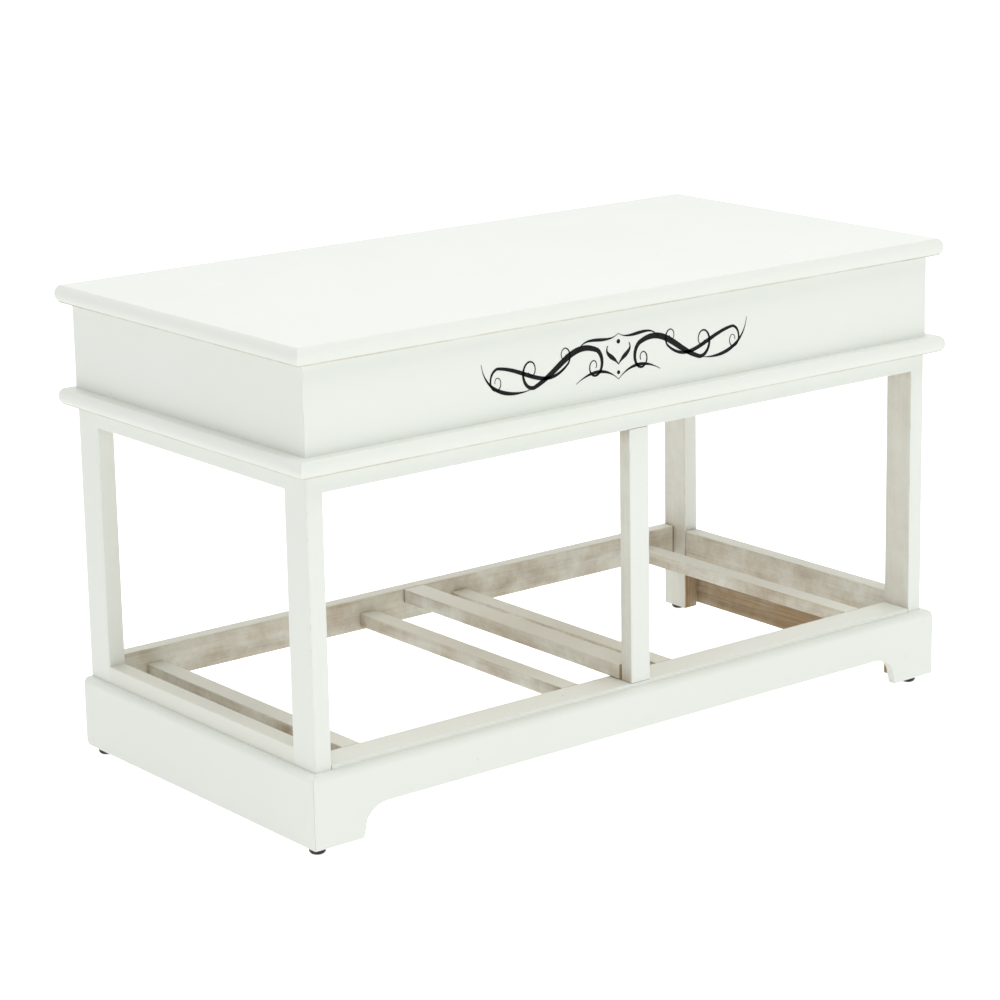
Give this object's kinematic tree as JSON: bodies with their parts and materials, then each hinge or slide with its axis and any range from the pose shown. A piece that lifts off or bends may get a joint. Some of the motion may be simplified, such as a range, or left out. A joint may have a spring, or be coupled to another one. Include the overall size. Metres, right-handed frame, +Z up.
{
  "type": "storage bench",
  "caption": "White painted wooden bench with a lift-up seat lid over a shallow chest, on an open slatted frame with two basket bays and a bracket-foot plinth.",
  "frame": {"origin": "on the floor under the middle of the bench's outer box", "axes": "+X to the right along the length, +Y to the back, +Z up; the front with the two bays faces -Y"},
  "size_m": [0.804, 0.414, 0.4745],
  "materials": {
    "white_paint": "satin white paint over wood, edges eased",
    "washed_wood": "thin white wash over brown wood, grain showing",
    "chest_floor_board": "raw plywood",
    "glide_plastic": "black moulded plastic",
    "zinc_steel": "zinc-plated steel, satin"
  },
  "bodies": {
    "root": {"post_front_left": "white_paint", "post_front_right": "white_paint", "post_rear_left": "white_paint", "post_rear_right": "white_paint", "post_front_centre": "white_paint", "apron_front": "white_paint", "apron_rear": "white_paint", "apron_left": "white_paint", "apron_right": "white_paint", "rail_front": "white_paint", "plinth_front": "white_paint", "plinth_left": "white_paint", "plinth_right": "white_paint", "moulding_front": "white_paint", "moulding_rear": "white_paint", "moulding_left": "white_paint", "moulding_right": "white_paint", "chest_front": "white_paint", "chest_rear": "white_paint", "chest_left": "white_paint", "chest_right": "white_paint", "rail_rear": "washed_wood", "rail_left": "washed_wood", "rail_right": "washed_wood", "divider_rail": "washed_wood", "slat_outer_left": "washed_wood", "slat_outer_right": "washed_wood", "slat_inner_left": "washed_wood", "slat_inner_right": "washed_wood", "chest_floor": "chest_floor_board", "glide_front_left": "glide_plastic", "glide_front_right": "glide_plastic", "glide_rear_left": "glide_plastic", "glide_rear_right": "glide_plastic", "hinge_leaf_fixed_left": "zinc_steel", "hinge_pin_left": "zinc_steel", "hinge_leaf_fixed_right": "zinc_steel", "hinge_pin_right": "zinc_steel", "screw_fixed_left_1": "zinc_steel", "screw_fixed_left_2": "zinc_steel", "screw_fixed_right_1": "zinc_steel", "screw_fixed_right_2": "zinc_steel", "stay_track_left": "zinc_steel", "stay_track_right": "zinc_steel"},
    "lid": {"lid_panel": "white_paint", "lid_batten_left": "white_paint", "lid_batten_right": "white_paint", "hinge_leaf_lid_left": "zinc_steel", "hinge_leaf_lid_right": "zinc_steel", "screw_lid_left_1": "zinc_steel", "screw_lid_left_2": "zinc_steel", "screw_lid_right_1": "zinc_steel", "screw_lid_right_2": "zinc_steel", "stay_bracket_left": "zinc_steel", "stay_bracket_right": "zinc_steel"},
    "stay_arm_left": {"stay_arm_left": "zinc_steel", "stay_slider_left": "zinc_steel"},
    "stay_arm_right": {"stay_arm_right": "zinc_steel", "stay_slider_right": "zinc_steel"}
  },
  "joints": [
    {"name": "lid_hinge", "type": "hinge", "parent": "root", "child": "lid", "pos_m": [0, 0.1988, 0.45675], "axis": [-1, 0, 0], "range_deg": [0, 75]},
    {"name": "stay_left_pivot", "type": "hinge", "parent": "lid", "child": "stay_arm_left", "pos_m": [-0.3643, 0.09015, 0.43954], "axis": [-1, 0, 0], "range_deg": [-150, 0]},
    {"name": "stay_right_pivot", "type": "hinge", "parent": "lid", "child": "stay_arm_right", "pos_m": [0.3643, 0.09015, 0.43954], "axis": [-1, 0, 0], "range_deg": [-150, 0]}
  ],
  "couplings": [
    {"joint": "stay_left_pivot", "follows": "lid_hinge", "ratio": -2},
    {"joint": "stay_right_pivot", "follows": "lid_hinge", "ratio": -2}
  ]
}
